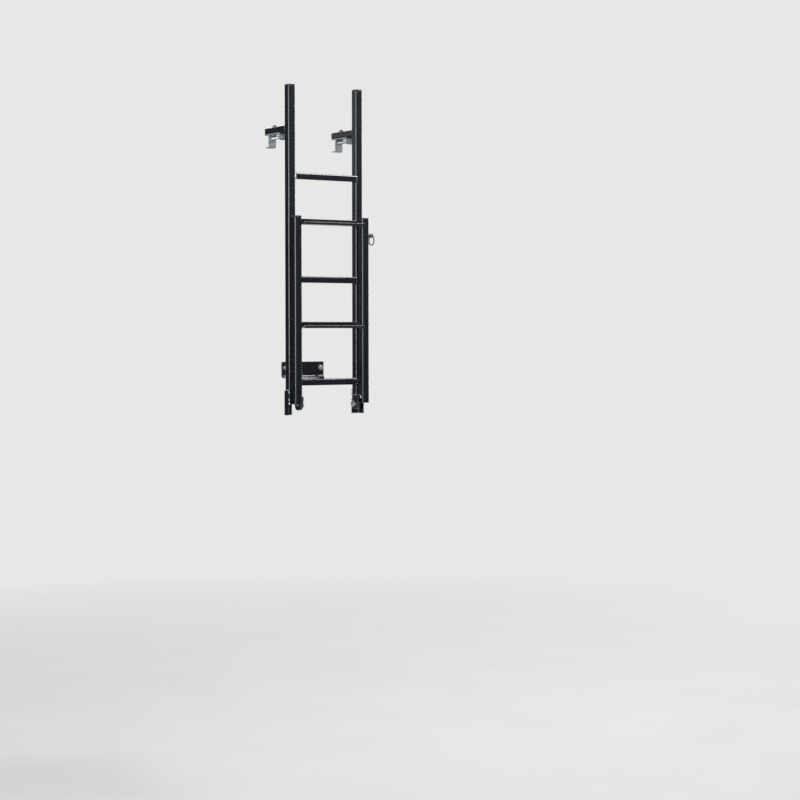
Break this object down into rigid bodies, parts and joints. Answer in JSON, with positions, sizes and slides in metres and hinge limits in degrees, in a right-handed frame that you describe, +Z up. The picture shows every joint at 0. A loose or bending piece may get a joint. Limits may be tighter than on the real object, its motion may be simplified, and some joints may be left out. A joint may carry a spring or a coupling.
{
  "type": "folding vehicle ladder",
  "caption": "Folding vehicle access ladder held off the bodywork by roof gutter clamp arms and a bolted waist plate, with a hinged lower section that folds up in front of it.",
  "frame": {"origin": "middle between the two bolt holes, on the back face of the waist plate, which lies on the vehicle's skin", "axes": "+X to the right across the ladder as the climber faces it, +Y into the vehicle, +Z up"},
  "size_m": [0.242, 0.16, 0.826],
  "materials": {
    "black_powder_coat": "satin black powder coat on steel",
    "zinc_plate": "bright zinc plating, slightly dulled",
    "dark_bolt": "dark grey plated steel",
    "black_plastic": "moulded matte black plastic"
  },
  "bodies": {
    "upper_section": {"upper_rail_left": "black_powder_coat", "upper_rail_right": "black_powder_coat", "upper_cap_left": "black_plastic", "upper_cap_right": "black_plastic", "top_rung": "black_powder_coat", "middle_rung": "black_powder_coat", "bottom_rung": "black_powder_coat", "gutter_arm_left": "black_powder_coat", "gutter_arm_right": "black_powder_coat", "clamp_strap_left": "zinc_plate", "clamp_strap_right": "zinc_plate", "gutter_jaw_left": "zinc_plate", "gutter_jaw_right": "zinc_plate", "clamp_screw_left": "zinc_plate", "clamp_screw_right": "zinc_plate", "arm_bolt_left": "dark_bolt", "arm_bolt_right": "dark_bolt", "upper_lug_left": "black_powder_coat", "upper_lug_right": "black_powder_coat", "stop_angle_left": "black_powder_coat", "stop_angle_right": "black_powder_coat", "pivot_bolt_left": "zinc_plate", "pivot_bolt_right": "zinc_plate", "waist_plate": "black_powder_coat"},
    "lower_section": {"lower_rail_left": "black_powder_coat", "lower_rail_right": "black_powder_coat", "lower_cap_left": "black_plastic", "lower_cap_right": "black_plastic", "folding_rung_near_hinge": "black_powder_coat", "folding_rung_at_end": "black_powder_coat", "lower_lug_left": "black_powder_coat", "lower_lug_right": "black_powder_coat", "lock_pin": "zinc_plate", "pull_ring": "dark_bolt"}
  },
  "joints": [
    {"name": "fold", "type": "hinge", "parent": "upper_section", "child": "lower_section", "pos_m": [0, -0.123, -0.091], "axis": [1, 0, 0], "range_deg": [0, 180]}
  ]
}
